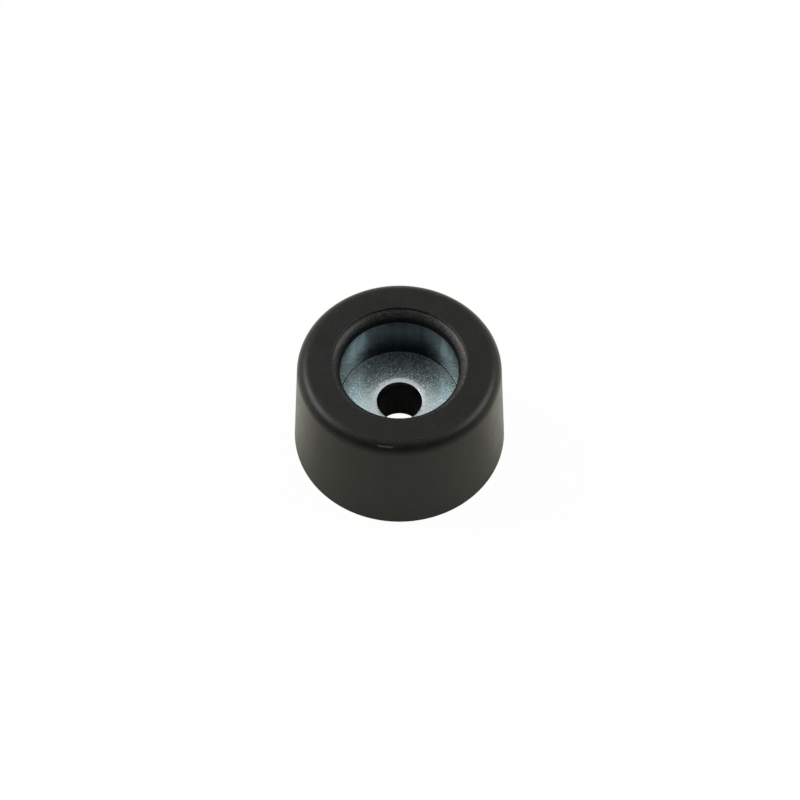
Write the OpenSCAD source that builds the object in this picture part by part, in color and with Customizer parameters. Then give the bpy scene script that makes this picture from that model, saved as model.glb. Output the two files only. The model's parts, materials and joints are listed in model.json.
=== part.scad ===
/* [Body] */
// Diameter of the mounting base
base_d = 38; // [32:0.5:60]
// Height from the mounting base to the tread
height = 22; // [18:0.5:40]
// Draft of the side wall, in degrees
wall_draft = 3.7; // [0:0.1:6]
// Radius round the edge of the tread
tread_edge_r = 2.3; // [0.5:0.1:3]
// Height of the bevel round the edge of the mounting base
base_bevel = 0.3; // [0.1:0.1:1.5]

/* [Steel cup] */
// Inside diameter of the cup
cup_d = 21.2; // [16:0.2:24]
// Thickness of the sheet that the cup is pressed from
sheet_t = 1; // [0.6:0.1:1.6]
// Inside radius of the corner between the cup's floor and wall
cup_corner_r = 0.4; // [0.2:0.1:2]
// Thickness of the rubber web under the cup
web_t = 9.2; // [3:0.1:12]
// Depth of the cup's rim below the tread
rim_depth = 2.5; // [1.5:0.1:4]

/* [Rubber lip] */
// How far the lip reaches in over the cup's rim
lip_overhang = 0.3; // [0.2:0.05:1]
// Height of the straight nose at the lip's inner edge
lip_nose_h = 0.15; // [0.1:0.05:0.5]
// Width of the lip, from its nose to the edge of the tread
lip_w = 1.4; // [1:0.1:3]
// Radius of the lip's crown
lip_crown_r = 2.6; // [1.5:0.1:8]
// Depth of the small step between the tread and the lip
step_h = 0.4; // [0.1:0.05:0.6]
// Width of that step's sloping side
step_w = 0.05; // [0.05:0.05:0.4]

/* [Screw hole] */
// Diameter of the hole through the cup and the web
hole_d = 8; // [4:0.1:10]
// Width of the dished band round the hole in the cup
dish_w = 1.1; // [0.6:0.05:1.5]
// Depth of that band at the hole's edge
dish_depth = 0.15; // [0.05:0.05:0.3]

/* [Hidden] */
$fn = 96;

// A cut reaches this far past the face that it opens
through = 1;

// Radii and levels that both pieces share
hole_r = hole_d / 2;
cup_r = cup_d / 2;
cup_outer_r = cup_r + sheet_t;
rim_z = height - rim_depth;
floor_z = web_t + sheet_t;

// Radius of the dished band's arc, which leaves the floor without a crease
dish_r = (dish_w * dish_w + dish_depth * dish_depth) / (2 * dish_depth);

// The side wall leans in from the base edge
function wall_r(z) = base_d / 2 - z * tan(wall_draft);

// The lip runs from its nose up to the foot of the step
nose = [cup_r - lip_overhang, rim_z + lip_nose_h];
mouth_r = nose.x + lip_w;
step_foot = [mouth_r - step_w, height - step_h];

// The crown's circle is always wide enough to span the lip
crown_r = max(lip_crown_r, norm(step_foot - nose) * 0.51);

// Centre of a circle of radius r through points a and b, to the right of the way from a to b
function arc_centre(a, b, r) =
    let (
        chord = b - a,
        half = norm(chord) / 2,
        across = [chord.y, -chord.x] / norm(chord)
    )
    (a + b) / 2 + across * sqrt(r * r - half * half);

// Section of a straight-walled bowl from the axis out to r, with its lower corner rounded
module bowl_section(r, bottom, top, corner) {
    translate([0, bottom])
        square([r - corner, top - bottom]);
    translate([0, bottom + corner])
        square([r, top - bottom - corner]);
    translate([r - corner, bottom + corner])
        circle(corner);
}

// Section of the foot's outside, with the base edge bevelled and the tread edge rounded
module outside_section() {
    edge_z = height - tread_edge_r;
    edge_centre = [wall_r(edge_z) - tread_edge_r / cos(wall_draft), edge_z];
    polygon([
        [0, 0],
        [wall_r(0) - base_bevel, 0],
        [wall_r(base_bevel), base_bevel],
        edge_centre + tread_edge_r * [cos(wall_draft), sin(wall_draft)],
        [edge_centre.x, height],
        [0, height]
    ]);
    translate(edge_centre)
        circle(tread_edge_r);
}

// Section of the mouth above the cup: the throat, the crowned lip and the step
module mouth_section() {
    low_z = rim_z + lip_nose_h / 2;
    translate([0, rim_z])
        square([nose.x, rim_depth + through]);
    difference() {
        polygon([
            [0, low_z],
            [mouth_r - (height - low_z) * step_w / step_h, low_z],
            [mouth_r, height],
            [mouth_r, height + through],
            [0, height + through]
        ]);
        translate(arc_centre(nose, step_foot, crown_r))
            circle(crown_r);
    }
}

// Section of the screw hole, open past both ends
module hole_section() {
    translate([0, -through])
        square([hole_r, floor_z + 2 * through]);
}

// Moulded rubber foot, with the seat of the cup left free
module rubber_body() {
    color([0.16, 0.16, 0.155])
        rotate_extrude()
            difference() {
                outside_section();
                bowl_section(cup_outer_r, web_t, rim_z, cup_corner_r + sheet_t);
                mouth_section();
                hole_section();
            }
}

// Pressed cup that the rubber is moulded round
module steel_cup() {
    color([0.72, 0.76, 0.78])
        rotate_extrude()
            difference() {
                bowl_section(cup_outer_r, web_t, rim_z, cup_corner_r + sheet_t);
                bowl_section(cup_r, floor_z, rim_z + through, cup_corner_r);
                hole_section();
                difference() {
                    translate([0, floor_z - 0.8 * sheet_t])
                        square([hole_r + dish_w, 0.8 * sheet_t + through]);
                    translate([hole_r + dish_w, floor_z - dish_r])
                        circle(dish_r);
                }
            }
}

rubber_body();
steel_cup();
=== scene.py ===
"""Black rubber foot with a pressed, zinc-plated steel cup in its recess.

Both pieces are turned shapes: a closed section in the plane of the axis is carried once round the Z axis.
Every length is in metres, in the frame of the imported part.
"""
import json
import math

import bpy
import numpy as np
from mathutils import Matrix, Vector


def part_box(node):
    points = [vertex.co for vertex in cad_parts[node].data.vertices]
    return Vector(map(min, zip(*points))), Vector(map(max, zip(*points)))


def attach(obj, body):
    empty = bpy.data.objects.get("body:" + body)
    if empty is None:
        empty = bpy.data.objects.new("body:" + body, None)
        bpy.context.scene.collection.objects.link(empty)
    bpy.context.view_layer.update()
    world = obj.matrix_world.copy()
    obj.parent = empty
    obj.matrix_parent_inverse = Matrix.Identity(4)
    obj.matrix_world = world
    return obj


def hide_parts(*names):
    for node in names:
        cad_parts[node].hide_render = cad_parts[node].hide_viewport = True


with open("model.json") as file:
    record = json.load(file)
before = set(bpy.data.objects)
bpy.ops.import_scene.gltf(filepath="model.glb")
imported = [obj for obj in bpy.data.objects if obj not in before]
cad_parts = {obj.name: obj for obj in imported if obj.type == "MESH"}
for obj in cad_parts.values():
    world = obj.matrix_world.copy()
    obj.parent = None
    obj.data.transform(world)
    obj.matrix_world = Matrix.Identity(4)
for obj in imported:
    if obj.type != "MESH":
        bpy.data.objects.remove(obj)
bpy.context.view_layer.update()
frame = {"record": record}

MM = 0.001
scene = bpy.context.scene


# Sizes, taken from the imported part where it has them

rubber_low, rubber_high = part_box("rubber_body")
cup_low, cup_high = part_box("steel_cup")
mounts = {m["name"]: m for m in frame["record"]["mounts"]}

HEIGHT = rubber_high.z
BASE_R = rubber_high.x
WALL_DRAFT = math.radians(3.7)
TREAD_EDGE_R = 2.3 * MM
BASE_EDGE_R = 0.3 * MM

CUP_OUTER_R = cup_high.x
CUP_BOTTOM_Z = cup_low.z
RIM_Z = cup_high.z
SHEET_T = 1.0 * MM
CUP_CORNER_R = 0.18 * MM
RIM_EDGE_R = 0.12 * MM
HOLE_R = mounts["screw_hole"]["dims"]["r_mm"] * MM
HOLE_EDGE_R = 0.08 * MM
DISH_W = 1.1 * MM
DISH_DEPTH = 0.15 * MM
BOWL_R = 7.6 * MM
BOWL_RISE = 0.08 * MM

LIP_OVERHANG = 0.3 * MM
LIP_NOSE_H = 0.15 * MM
LIP_W = 1.4 * MM
LIP_CROWN_R = 2.2 * MM
STEP_H = 0.4 * MM
STEP_W = 0.05 * MM
STEP_EDGE_R = 0.22 * MM

# Spacing of the rings along a section, and the number of steps once round the axis
RING_SPACING = 0.25 * MM
ROUND_STEPS = 288
ARC_STEP = math.radians(9)


# Sections and turned meshes

def arc_points(start, end, radius, steps):
    """Corners (r, z, 0) along an arc that runs from start to end and bulges to the left of that way.

    The arc's centre lies right of the chord's middle, and the points are the centre plus the radius in evenly
    turned directions, with both ends left out.
    """
    chord = end - start
    half = np.linalg.norm(chord) / 2
    right = np.array([chord[1], -chord[0]]) / (2 * half)
    centre = (start + end) / 2 + right * math.sqrt(radius ** 2 - half ** 2)
    reach = math.asin(half / radius)
    angle = np.linspace(-reach, reach, steps + 1)[1:-1, None]
    points = centre - radius * right * np.cos(angle) + radius * chord / (2 * half) * np.sin(angle)
    return [(r, z, 0) for r, z in points]


def rounded_corner(before, corner, after, radius):
    """Points of the arc that rounds one corner of a section.

    The arc touches both sides at radius times the tangent of half the turn, and its points are the centre
    plus the radius in evenly turned directions.
    """
    way_in = (corner - before) / np.linalg.norm(corner - before)
    way_out = (after - corner) / np.linalg.norm(after - corner)
    cross = way_in[0] * way_out[1] - way_in[1] * way_out[0]
    turn = math.atan2(cross, way_in @ way_out)
    if radius == 0 or turn == 0:
        return corner[None, :]
    side = math.copysign(1, turn)
    first = corner - way_in * radius * math.tan(abs(turn) / 2)
    normal = side * np.array([-way_in[1], way_in[0]])
    centre = first + normal * radius
    steps = max(3, math.ceil(abs(turn) / ARC_STEP))
    angle = np.linspace(0, turn, steps + 1)[:, None]
    turned = np.hstack([-normal[0] * np.cos(angle) + normal[1] * np.sin(angle),
                        -normal[0] * np.sin(angle) - normal[1] * np.cos(angle)])
    return centre + radius * turned


def section(corners):
    """Closed section from a list of (r, z, rounding radius) corners, with its straight stretches divided.

    Each corner becomes its arc, and each stretch between arcs is cut into equal lengths under RING_SPACING.
    """
    points = np.array([c[:2] for c in corners])
    arcs = [rounded_corner(points[i - 1], points[i], points[(i + 1) % len(points)], corners[i][2])
            for i in range(len(points))]
    stretches = []
    for i, arc in enumerate(arcs):
        following = arcs[(i + 1) % len(arcs)][0]
        count = max(1, math.ceil(np.linalg.norm(following - arc[-1]) / RING_SPACING))
        share = np.arange(1, count)[:, None] / count
        stretches += [arc, arc[-1] + (following - arc[-1]) * share]
    return np.vstack(stretches)


def turned_mesh(name, outline):
    """Object made by carrying a closed section round the Z axis.

    A point (r, z) of the section becomes (r cos a, r sin a, z) at each of ROUND_STEPS even angles a, and
    neighbouring points and angles make quads, so the surface closes on itself both ways.
    """
    angle = np.arange(ROUND_STEPS) * 2 * np.pi / ROUND_STEPS
    r = outline[:, :1]
    z = np.broadcast_to(outline[:, 1:], (len(outline), ROUND_STEPS))
    verts = np.stack([r * np.cos(angle), r * np.sin(angle), z], axis=-1)
    ring = np.arange(len(r))[:, None]
    step = np.arange(ROUND_STEPS)[None, :]
    next_ring = (ring + 1) % len(r)
    next_step = (step + 1) % ROUND_STEPS
    faces = np.stack([ring * ROUND_STEPS + step, ring * ROUND_STEPS + next_step,
                      next_ring * ROUND_STEPS + next_step, next_ring * ROUND_STEPS + step], axis=-1)
    mesh = bpy.data.meshes.new(name)
    mesh.from_pydata(verts.reshape(-1, 3), [], faces.reshape(-1, 4))
    mesh.polygons.foreach_set("use_smooth", np.ones(faces.size // 4, bool))
    mesh.update()
    piece = bpy.data.objects.new(name, mesh)
    scene.collection.objects.link(piece)
    return piece


def wall_r(z):
    """Radius of the drafted side wall at height z.

    It is BASE_R at the top of the rounded base edge, less the height above that times the draft's tangent.
    """
    return BASE_R - (z - BASE_EDGE_R) * math.tan(WALL_DRAFT)


def rubber_section():
    """Section of the rubber, anticlockwise from the foot of the screw hole.

    Its sides are the base, the drafted wall, the tread, the step, the lip's crown (an arc), the lip's nose
    and the seat of the cup.
    """
    nose_r = CUP_OUTER_R - SHEET_T - LIP_OVERHANG
    mouth_r = nose_r + LIP_W
    step_foot = np.array([mouth_r - STEP_W, HEIGHT - STEP_H])
    nose = np.array([nose_r, RIM_Z + LIP_NOSE_H])
    crown = arc_points(nose, step_foot, LIP_CROWN_R, 16)
    return section([
        (HOLE_R, 0, 0),
        (wall_r(0), 0, BASE_EDGE_R),
        (wall_r(HEIGHT), HEIGHT, TREAD_EDGE_R),
        (mouth_r, HEIGHT, STEP_EDGE_R),
        (*step_foot, STEP_EDGE_R / 4),
        *reversed(crown),
        (*nose, 0),
        (nose_r, RIM_Z, 0),
        (CUP_OUTER_R, RIM_Z, 0),
        (CUP_OUTER_R, CUP_BOTTOM_Z, CUP_CORNER_R + SHEET_T),
        (HOLE_R, CUP_BOTTOM_Z, 0),
    ])


def cup_section():
    """Section of the cup, anticlockwise from the lower edge of its hole.

    Its sides are the underside, the outer wall, the rim, the inner wall, the floor and the dish (an arc).
    From BOWL_R outwards the floor rises with the square of the distance, by BOWL_RISE at the corner.
    """
    inside_r = CUP_OUTER_R - SHEET_T
    floor_z = CUP_BOTTOM_Z + SHEET_T
    hole_edge = np.array([HOLE_R, floor_z - DISH_DEPTH])
    dish_start = np.array([HOLE_R + DISH_W, floor_z])
    dish_r = (DISH_W ** 2 + DISH_DEPTH ** 2) / (2 * DISH_DEPTH)
    dish = arc_points(hole_edge, dish_start, dish_r, 8)
    share = np.linspace(0, 1, 9)[:-1]
    bowl_r = BOWL_R + (inside_r - BOWL_R) * share
    bowl_z = floor_z + BOWL_RISE * share ** 2
    bowl = [(r, z, 0) for r, z in zip(bowl_r, bowl_z)]
    return section([
        (HOLE_R, CUP_BOTTOM_Z, HOLE_EDGE_R),
        (CUP_OUTER_R, CUP_BOTTOM_Z, CUP_CORNER_R + SHEET_T),
        (CUP_OUTER_R, RIM_Z, RIM_EDGE_R),
        (inside_r, RIM_Z, RIM_EDGE_R),
        (inside_r, floor_z + BOWL_RISE, CUP_CORNER_R),
        *reversed(bowl),
        (*dish_start, 0),
        *reversed(dish),
        (*hole_edge, HOLE_EDGE_R),
    ])


# Materials

RUBBER = (0.0054, 0.0057, 0.0044, 1)
# Painted sheen: the lip's paler colour stands in for light on the lip
LIP_SHEEN = (0.0147, 0.0145, 0.0136, 1)
# Painted shade: the near black of the lip's nose stands in for the shade in the seam against the cup
NOSE_SHADE = (0.0005, 0.0005, 0.0005, 1)
DUST = (0.06, 0.06, 0.057, 1)
# Painted highlight: a small glint on the front of the tread's rounded edge
GLINT = (0.055, 0.055, 0.053, 1)

ZINC_FLOOR = (0.73, 0.925, 0.935, 1)
ZINC_HOLE_EDGE = (0.83, 0.93, 0.935, 1)
# Painted shade: the drawn wall is far darker than the floor, most of all at its foot, standing in for the
# dark reflection the wall shows
SHADED_WALL_FOOT = (0.022, 0.025, 0.0275, 1)
SHADED_WALL_TOP = (0.195, 0.22, 0.24, 1)
ZINC_CUT = (0.16, 0.19, 0.21, 1)
ZINC_GRAZING_TINT = (0.66, 0.66, 0.66, 1)

# Where the rubber's finish, painted sheen, painted shade and painted glint change: stretches of height,
# of distance from the axis, or of X and Y
LIP_HEIGHTS = (19.9 * MM, 20.8 * MM)
LIP_END = (11.65 * MM, 11.9 * MM)
NOSE_HEIGHTS = (19.2 * MM, 19.4 * MM)
NOSE_END = (10.45 * MM, 10.75 * MM)
NOSE_FRONT_Y = (-11 * MM, -2 * MM)
NOSE_FRONT_WIDTH = 0.65 * MM
# Painted highlight: the lip's painted sheen is raised on the right side
SHEEN_SIDE_X = (4 * MM, 10 * MM)
SHEEN_SIDE_GAIN = 1.95
# Place and size of the painted glint
GLINT_X = -2.4 * MM
GLINT_Z = 21.42 * MM
GLINT_HALF_LENGTH = (0.9 * MM, 1.6 * MM)
GLINT_HALF_WIDTH = (0.04 * MM, 0.13 * MM)
GLINT_FRONT_Y = (-16.2 * MM, -16 * MM)

# Where the zinc's finish changes: distances from the axis, and the heights of the wall's painted shade
DRAWN_START = (10.41 * MM, 10.5 * MM)
HOLE_EDGE_FADE = (4.4 * MM, 7.4 * MM)
CUT_EDGE_FADE = (4.02 * MM, 4.08 * MM)
WALL_SHADE_HEIGHTS = (11.2 * MM, 18 * MM)


def new_material(name):
    """Empty node material with its Principled shader and output, and the tree to add to."""
    material = bpy.data.materials.new(name)
    material.use_nodes = True
    return material, material.node_tree, material.node_tree.nodes["Principled BSDF"]


def add(tree, kind, **settings):
    """New node of a kind, with its properties set by name and its inputs by socket name."""
    node = tree.nodes.new(kind)
    for key, value in settings.items():
        if hasattr(node, key):
            setattr(node, key, value)
        else:
            node.inputs[key.replace("_", " ")].default_value = value
    return node


def feed(tree, socket, value):
    """Give an input socket its value: another node's output is linked, and anything else is set."""
    if isinstance(value, bpy.types.NodeSocket):
        tree.links.new(value, socket)
    else:
        socket.default_value = value


def group_tree(name, inputs, outputs):
    """Shader node group with float inputs (name: default) and outputs, plus its two end nodes."""
    tree = bpy.data.node_groups.new(name, "ShaderNodeTree")
    for label, value in inputs.items():
        socket = tree.interface.new_socket(label, in_out="INPUT", socket_type="NodeSocketFloat")
        socket.default_value = value
    for label in outputs:
        tree.interface.new_socket(label, in_out="OUTPUT", socket_type="NodeSocketFloat")
    return tree, tree.nodes.new("NodeGroupInput"), tree.nodes.new("NodeGroupOutput")


def mapped(tree, value, low, high, bottom, top, curve="LINEAR"):
    """Socket that goes from bottom to top while a value goes from low to high, and stays there beyond."""
    node = add(tree, "ShaderNodeMapRange", interpolation_type=curve,
               From_Min=low, From_Max=high, To_Min=bottom, To_Max=top)
    feed(tree, node.inputs["Value"], value)
    return node.outputs["Result"]


def smooth_rise(tree, value, low, high, bottom=0, top=1):
    """Socket that rises smoothly from bottom to top while a value goes from low to high."""
    return mapped(tree, value, low, high, bottom, top, "SMOOTHSTEP")


def maths(tree, operation, first, second):
    """Socket with the result of a maths operation on two values."""
    node = add(tree, "ShaderNodeMath", operation=operation)
    feed(tree, node.inputs[0], first)
    feed(tree, node.inputs[1], second)
    return node.outputs["Value"]


def vector_maths(tree, operation, first, second):
    """Socket with the vector that an operation on two vectors gives."""
    node = add(tree, "ShaderNodeVectorMath", operation=operation)
    feed(tree, node.inputs[0], first)
    feed(tree, node.inputs[1], second)
    return node.outputs["Vector"]


def blend(tree, share, first, second, kind="RGBA"):
    """Socket that goes from the first value to the second while the share goes from 0 to 1."""
    node = add(tree, "ShaderNodeMix", data_type=kind)
    feed(tree, node.inputs["Factor"], share)
    feed(tree, node.inputs["A"], first)
    feed(tree, node.inputs["B"], second)
    return node.outputs["Result"]


def toned(tree, colour, tone):
    """Colour socket with every channel of a colour multiplied by a tone."""
    node = add(tree, "ShaderNodeMix", data_type="RGBA", blend_type="MULTIPLY", Factor=1)
    feed(tree, node.inputs["A"], colour)
    feed(tree, node.inputs["B"], tone)
    return node.outputs["Result"]


def object_place(tree):
    """Sockets with a surface point's place in object space, its distance from the Z axis, its X, Y and Z."""
    place = add(tree, "ShaderNodeTexCoord").outputs["Object"]
    axes = add(tree, "ShaderNodeSeparateXYZ")
    spread = add(tree, "ShaderNodeVectorMath", operation="LENGTH")
    feed(tree, axes.inputs["Vector"], place)
    feed(tree, spread.inputs[0], vector_maths(tree, "MULTIPLY", place, (1, 1, 0)))
    return place, spread.outputs["Value"], axes.outputs["X"], axes.outputs["Y"], axes.outputs["Z"]


def make_fine_grain():
    """Group: height of a fine, even grain over a slower unevenness, both from noise in object space."""
    tree, given, result = group_tree(
        "fine_grain", {"Grain Scale": 5000, "Wave Scale": 300, "Wave Share": 0.5}, ["Height", "Mottle"])
    place = add(tree, "ShaderNodeTexCoord").outputs["Object"]
    grain = add(tree, "ShaderNodeTexNoise", Detail=2.0, Roughness=0.6)
    wave = add(tree, "ShaderNodeTexNoise", Detail=3.0, Roughness=0.55)
    feed(tree, grain.inputs["Vector"], place)
    feed(tree, wave.inputs["Vector"], place)
    feed(tree, grain.inputs["Scale"], given.outputs["Grain Scale"])
    feed(tree, wave.inputs["Scale"], given.outputs["Wave Scale"])
    both = blend(tree, given.outputs["Wave Share"], grain.outputs["Fac"], wave.outputs["Fac"], "FLOAT")
    feed(tree, result.inputs["Height"], both)
    feed(tree, result.inputs["Mottle"], wave.outputs["Fac"])
    return tree


def make_specks():
    """Group: mask of small round specks, one near the middle of some of the cells of a Voronoi pattern."""
    tree, given, result = group_tree("specks", {"Scale": 900, "Size": 0.1, "Share": 0.1}, ["Mask"])
    cells = add(tree, "ShaderNodeTexVoronoi")
    pick = add(tree, "ShaderNodeSeparateColor")
    feed(tree, cells.inputs["Vector"], add(tree, "ShaderNodeTexCoord").outputs["Object"])
    feed(tree, cells.inputs["Scale"], given.outputs["Scale"])
    feed(tree, pick.inputs["Color"], cells.outputs["Color"])
    near = maths(tree, "LESS_THAN", cells.outputs["Distance"], given.outputs["Size"])
    chosen = maths(tree, "LESS_THAN", pick.outputs["Red"], given.outputs["Share"])
    feed(tree, result.inputs["Mask"], maths(tree, "MULTIPLY", near, chosen))
    return tree


def place_group(tree, group, **values):
    """Node that places a shader node group in a tree, with its inputs set by name."""
    node = tree.nodes.new("ShaderNodeGroup")
    node.node_tree = group
    for key, value in values.items():
        node.inputs[key.replace("_", " ")].default_value = value
    return node


def black_rubber(grain_group, speck_group):
    """Satin black moulded rubber with a fine grain, some dust and one small painted glint on the front of the
    tread's edge.

    The lip's paler colour is a painted sheen with an uneven mottle, brightest on the right as a painted
    highlight, and its nose is painted shade, a dull black line against the cup, wider in front.
    """
    material, tree, shader = new_material("black_rubber")
    shader.inputs["Specular IOR Level"].default_value = 0.29
    _, radius, across, along, height = object_place(tree)
    grain = place_group(tree, grain_group, Grain_Scale=3000, Wave_Scale=350, Wave_Share=0.3)
    tone = mapped(tree, grain.outputs["Height"], 0.35, 0.65, 0.3, 1.7)
    lip_grain = place_group(tree, grain_group, Grain_Scale=4200, Wave_Scale=350, Wave_Share=0.1)
    lip_sheen = mapped(tree, lip_grain.outputs["Height"], 0.40, 0.62, 0, 2.6)

    lip = maths(tree, "MULTIPLY", smooth_rise(tree, height, *LIP_HEIGHTS),
                smooth_rise(tree, radius, *LIP_END, 1, 0))
    # Mask of the nose's painted shade, wider towards the front
    inward = maths(tree, "SUBTRACT", radius, smooth_rise(tree, along, *NOSE_FRONT_Y, NOSE_FRONT_WIDTH, 0))
    nose = maths(tree, "MULTIPLY", smooth_rise(tree, height, *NOSE_HEIGHTS),
                 smooth_rise(tree, inward, *NOSE_END, 1, 0))
    dust = place_group(tree, speck_group, Scale=900, Size=0.08, Share=0.3)
    lint = place_group(tree, speck_group, Scale=2600, Size=0.14, Share=0.2)
    # Mask of the painted glint: a short band across X, at one height, on the front only
    beside_glint = maths(tree, "ABSOLUTE", maths(tree, "SUBTRACT", across, GLINT_X), 0)
    above_glint = maths(tree, "ABSOLUTE", maths(tree, "SUBTRACT", height, GLINT_Z), 0)
    glint = maths(tree, "MULTIPLY", smooth_rise(tree, beside_glint, *GLINT_HALF_LENGTH, 1, 0),
                  smooth_rise(tree, above_glint, *GLINT_HALF_WIDTH, 1, 0))
    glint = maths(tree, "MULTIPLY", glint, smooth_rise(tree, along, *GLINT_FRONT_Y, 1, 0))

    # Painted highlight: the lip's painted sheen grows towards the right side
    lip_sheen = maths(tree, "MULTIPLY", lip_sheen, smooth_rise(tree, across, *SHEEN_SIDE_X, 1, SHEEN_SIDE_GAIN))
    colour = blend(tree, lip, toned(tree, RUBBER, tone), toned(tree, LIP_SHEEN, lip_sheen))
    # Painted shade along the nose, against the cup
    colour = blend(tree, nose, colour, NOSE_SHADE)
    colour = blend(tree, maths(tree, "MAXIMUM", dust.outputs["Mask"], lint.outputs["Mask"]), colour, DUST)
    # Painted glint
    colour = blend(tree, glint, colour, GLINT)
    feed(tree, shader.inputs["Base Color"], colour)
    rough = mapped(tree, grain.outputs["Mottle"], 0.3, 0.7, 0.40, 0.46)
    feed(tree, shader.inputs["Roughness"], blend(tree, nose, rough, 0.95, "FLOAT"))
    bump = add(tree, "ShaderNodeBump", Strength=0.25, Distance=0.02 * MM)
    feed(tree, bump.inputs["Height"], grain.outputs["Height"])
    feed(tree, shader.inputs["Normal"], bump.outputs["Normal"])
    return material


def zinc_steel(grain_group, speck_group):
    """Bright zinc plate with a blue cast.

    The floor has small tilted facets and paler, rougher spots, and is paler round the hole and dark at its
    cut edge. The drawn wall is smoother and streaked along its height, and its colour is painted shade: far
    darker than the floor's, and darkest towards its foot.
    """
    material, tree, shader = new_material("zinc_steel")
    shader.inputs["Metallic"].default_value = 0.97
    shader.inputs["Specular Tint"].default_value = ZINC_GRAZING_TINT
    place, radius, _, _, height = object_place(tree)
    drawn = smooth_rise(tree, radius, *DRAWN_START)

    facets = add(tree, "ShaderNodeTexVoronoi", Scale=8500.0)
    facet = add(tree, "ShaderNodeSeparateColor")
    feed(tree, facets.inputs["Vector"], place)
    feed(tree, facet.inputs["Color"], facets.outputs["Color"])
    wide_spots = place_group(tree, speck_group, Scale=2600, Size=0.27, Share=0.7)
    small_spots = place_group(tree, speck_group, Scale=3900, Size=0.3, Share=0.6)
    salt = maths(tree, "MAXIMUM", wide_spots.outputs["Mask"], small_spots.outputs["Mask"])
    sparkle = mapped(tree, salt, 0, 1, 0.86, 1.06)

    streaks = add(tree, "ShaderNodeTexNoise", Scale=900.0, Detail=3.0, Roughness=0.6)
    feed(tree, streaks.inputs["Vector"], vector_maths(tree, "MULTIPLY", place, (1, 1, 0.05)))
    streak = mapped(tree, streaks.outputs["Fac"], 0.3, 0.7, 0.75, 1.25)

    # Painted shade on the wall, darkest at its foot
    shaded_wall = blend(tree, smooth_rise(tree, height, *WALL_SHADE_HEIGHTS), SHADED_WALL_FOOT, SHADED_WALL_TOP)
    floor = blend(tree, smooth_rise(tree, radius, *HOLE_EDGE_FADE, 1, 0), ZINC_FLOOR, ZINC_HOLE_EDGE)
    floor = blend(tree, smooth_rise(tree, radius, *CUT_EDGE_FADE, 1, 0), floor, ZINC_CUT)
    colour = blend(tree, drawn, floor, shaded_wall)
    tone = blend(tree, drawn, sparkle, streak, "FLOAT")
    feed(tree, shader.inputs["Base Color"], toned(tree, colour, tone))

    grain = place_group(tree, grain_group, Grain_Scale=5000, Wave_Scale=500, Wave_Share=0.05)
    satin = blend(tree, drawn, mapped(tree, salt, 0, 1, 0.27, 0.38), 0.20, "FLOAT")
    uneven = mapped(tree, grain.outputs["Mottle"], 0.3, 0.7, 0.96, 1.04)
    feed(tree, shader.inputs["Roughness"], maths(tree, "MULTIPLY", satin, uneven))

    reach = maths(tree, "MULTIPLY", maths(tree, "POWER", facet.outputs["Blue"], 4),
                  smooth_rise(tree, drawn, 0, 1, 0.5, 0))
    tilt = vector_maths(tree, "SUBTRACT", facets.outputs["Color"], (0.5, 0.5, 0.5))
    tilt = vector_maths(tree, "MULTIPLY", tilt, reach)
    leaning = vector_maths(tree, "ADD", add(tree, "ShaderNodeNewGeometry").outputs["Normal"], tilt)
    bump = add(tree, "ShaderNodeBump", Strength=0.06, Distance=0.02 * MM)
    relief = maths(tree, "MULTIPLY", grain.outputs["Height"], smooth_rise(tree, drawn, 0, 1, 1, 0.15))
    feed(tree, bump.inputs["Height"], relief)
    feed(tree, bump.inputs["Normal"], vector_maths(tree, "NORMALIZE", leaning, (0, 0, 0)))
    feed(tree, shader.inputs["Normal"], bump.outputs["Normal"])
    return material


# Studio

# The camera's elevation, distance, aim and lens come from the foot's coaxial circles in the picture
CAMERA_ELEVATION = math.radians(56.29)
CAMERA_DISTANCE = 335.0 * MM
CAMERA_AIM = Vector((0.11 * MM, 0, 10.38 * MM))
CAMERA_LENS = 85.15

FLOOR_HALF = 3.0
FLOOR_WARM = (0.95, 0.93, 0.80, 1)
FLOOR_GLOW_SHARE = 0.97
FLOOR_FADE = (-12 * MM, 4 * MM)
FLOOR_GLOW = (0.74, 1.45)
# Reach and level of the painted contact shadow in the floor's glow
FLOOR_SHADOW_REACH = (BASE_R, BASE_R + 8 * MM)
FLOOR_SHADOW_LEVEL = 0.8

TENT_BACK = (-0.35, 0.0)
TENT_TOP = (0.88, 0.96)
TENT_DARK = 0.10
TENT_LIGHT = 0.65

LAMP_DISTANCE = 0.6
LAMP_SIZE = (0.34, 0.16)

# Azimuth and elevation of each lamp in degrees, and its brightness
LAMPS = {"left_lamp": (163, 42, 13.2), "right_lamp": (6, 42, 9.2)}


def make_camera():
    """Camera in front of the foot, looking down at CAMERA_AIM from CAMERA_ELEVATION."""
    data = bpy.data.cameras.new("camera")
    data.lens = CAMERA_LENS
    data.sensor_width = 36
    data.clip_start = 10 * MM
    data.clip_end = 20
    camera = bpy.data.objects.new("camera", data)
    back = Vector((0, -math.cos(CAMERA_ELEVATION), math.sin(CAMERA_ELEVATION)))
    camera.location = CAMERA_AIM + back * CAMERA_DISTANCE
    camera.rotation_euler = back.to_track_quat("Z", "Y").to_euler()
    scene.collection.objects.link(camera)
    scene.camera = camera


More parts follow.
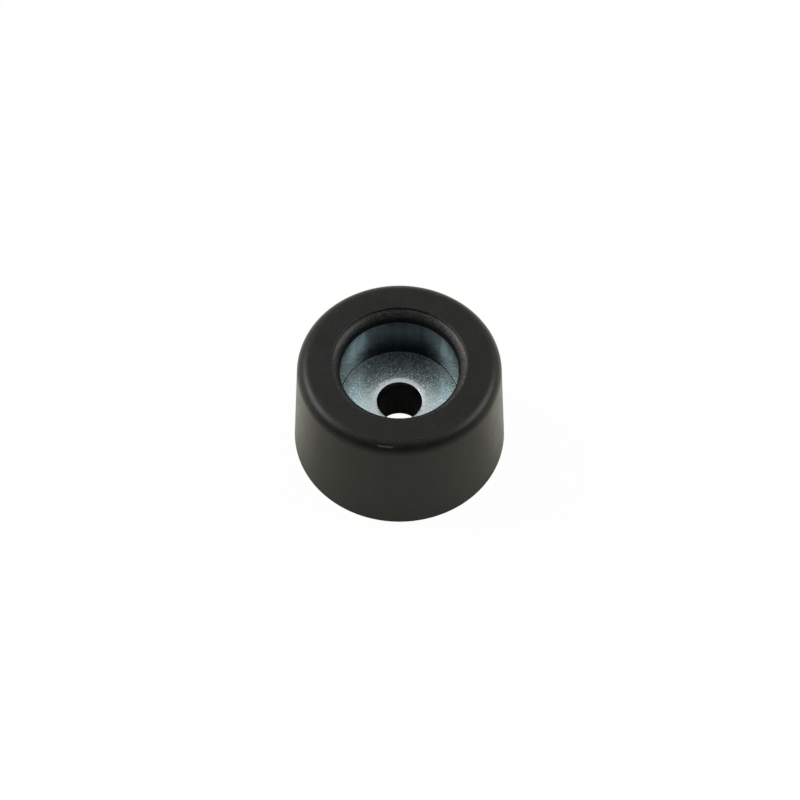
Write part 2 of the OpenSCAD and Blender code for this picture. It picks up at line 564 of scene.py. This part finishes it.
def make_floor():
    """Warm white floor under the part. In view it is near white, and it keeps a soft contact shadow.

    Reflections see it warm, bright beside and behind the part and darker towards the camera, dimmer close
    round its base as a painted contact shadow, and dark under the part itself.
    """
    mesh = bpy.data.meshes.new("floor")
    corners = [(-FLOOR_HALF, -FLOOR_HALF, 0), (FLOOR_HALF, -FLOOR_HALF, 0),
               (FLOOR_HALF, FLOOR_HALF, 0), (-FLOOR_HALF, FLOOR_HALF, 0)]
    mesh.from_pydata(corners, [], [(0, 1, 2, 3)])
    floor = bpy.data.objects.new("floor", mesh)
    scene.collection.objects.link(floor)
    material = bpy.data.materials.new("white_floor")
    material.use_nodes = True
    tree = material.node_tree
    tree.nodes.remove(tree.nodes["Principled BSDF"])
    path = add(tree, "ShaderNodeLightPath").outputs
    place = add(tree, "ShaderNodeTexCoord").outputs["Object"]
    axes = add(tree, "ShaderNodeSeparateXYZ")
    spread = add(tree, "ShaderNodeVectorMath", operation="LENGTH")
    feed(tree, axes.inputs["Vector"], place)
    feed(tree, spread.inputs[0], place)
    outside = maths(tree, "GREATER_THAN", spread.outputs["Value"], BASE_R)
    mirrored = maths(tree, "MAXIMUM", path["Is Glossy Ray"], path["Is Transmission Ray"])
    mirrored = maths(tree, "MULTIPLY", mirrored, outside)
    seen = maths(tree, "MAXIMUM", path["Is Camera Ray"], mirrored)
    front_fade = smooth_rise(tree, axes.outputs["Y"], *FLOOR_FADE, *FLOOR_GLOW)
    # Painted contact shadow: the glow that reflections see is dimmer close round the base
    glow_contact_shadow = smooth_rise(tree, spread.outputs["Value"], *FLOOR_SHADOW_REACH, FLOOR_SHADOW_LEVEL, 1)
    level = maths(tree, "MULTIPLY", front_fade, glow_contact_shadow)
    paper = add(tree, "ShaderNodeBsdfDiffuse", Color=FLOOR_WARM)
    glow = add(tree, "ShaderNodeEmission")
    feed(tree, glow.inputs["Color"], blend(tree, path["Is Camera Ray"], FLOOR_WARM, (1, 1, 1, 1)))
    feed(tree, glow.inputs["Strength"], blend(tree, path["Is Camera Ray"], level, 1, "FLOAT"))
    mix = add(tree, "ShaderNodeMixShader")
    feed(tree, mix.inputs["Fac"], maths(tree, "MULTIPLY", seen, FLOOR_GLOW_SHARE))
    feed(tree, mix.inputs[1], paper.outputs["BSDF"])
    feed(tree, mix.inputs[2], glow.outputs["Emission"])
    feed(tree, tree.nodes["Material Output"].inputs["Surface"], mix.outputs["Shader"])
    mesh.materials.append(material)


def make_world():
    """White tent over the back half and overhead, dark on the camera's side below TENT_TOP."""
    world = bpy.data.worlds.new("tent")
    scene.world = world
    world.use_nodes = True
    tree = world.node_tree
    sky = tree.nodes["Background"]
    sky.inputs["Color"].default_value = (1, 1, 1, 1)
    axes = add(tree, "ShaderNodeSeparateXYZ")
    path = add(tree, "ShaderNodeLightPath")
    feed(tree, axes.inputs["Vector"], add(tree, "ShaderNodeTexCoord").outputs["Generated"])
    behind = smooth_rise(tree, axes.outputs["Y"], *TENT_BACK, TENT_DARK, TENT_LIGHT)
    above = smooth_rise(tree, axes.outputs["Z"], *TENT_TOP, TENT_DARK, TENT_LIGHT)
    tent = maths(tree, "MAXIMUM", behind, above)
    feed(tree, sky.inputs["Strength"], maths(tree, "MAXIMUM", tent, path.outputs["Is Camera Ray"]))


def make_lamps():
    """Two wide soft boxes left and right of the part, facing it, with a power that grows with their area."""
    for name, (azimuth, elevation, level) in LAMPS.items():
        data = bpy.data.lights.new(name, "AREA")
        data.shape = "RECTANGLE"
        data.size, data.size_y = LAMP_SIZE
        data.energy = level * math.pi * data.size * data.size_y
        lamp = bpy.data.objects.new(name, data)
        turn, rise = math.radians(azimuth), math.radians(elevation)
        way = Vector((math.cos(rise) * math.cos(turn), math.cos(rise) * math.sin(turn), math.sin(rise)))
        lamp.location = way * LAMP_DISTANCE
        lamp.rotation_euler = way.to_track_quat("Z", "Y").to_euler()
        scene.collection.objects.link(lamp)


def build_foot():
    """The two pieces of the foot, each in place of its solid."""
    grain_group = make_fine_grain()
    speck_group = make_specks()
    rubber = turned_mesh("moulded_rubber", rubber_section())
    rubber.data.materials.append(black_rubber(grain_group, speck_group))
    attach(rubber, "root")
    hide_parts("rubber_body")
    cup = turned_mesh("pressed_cup", cup_section())
    cup.data.materials.append(zinc_steel(grain_group, speck_group))
    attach(cup, "root")
    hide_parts("steel_cup")


make_camera()
make_world()
make_lamps()
make_floor()
build_foot()
scene.view_settings.view_transform = "Standard"
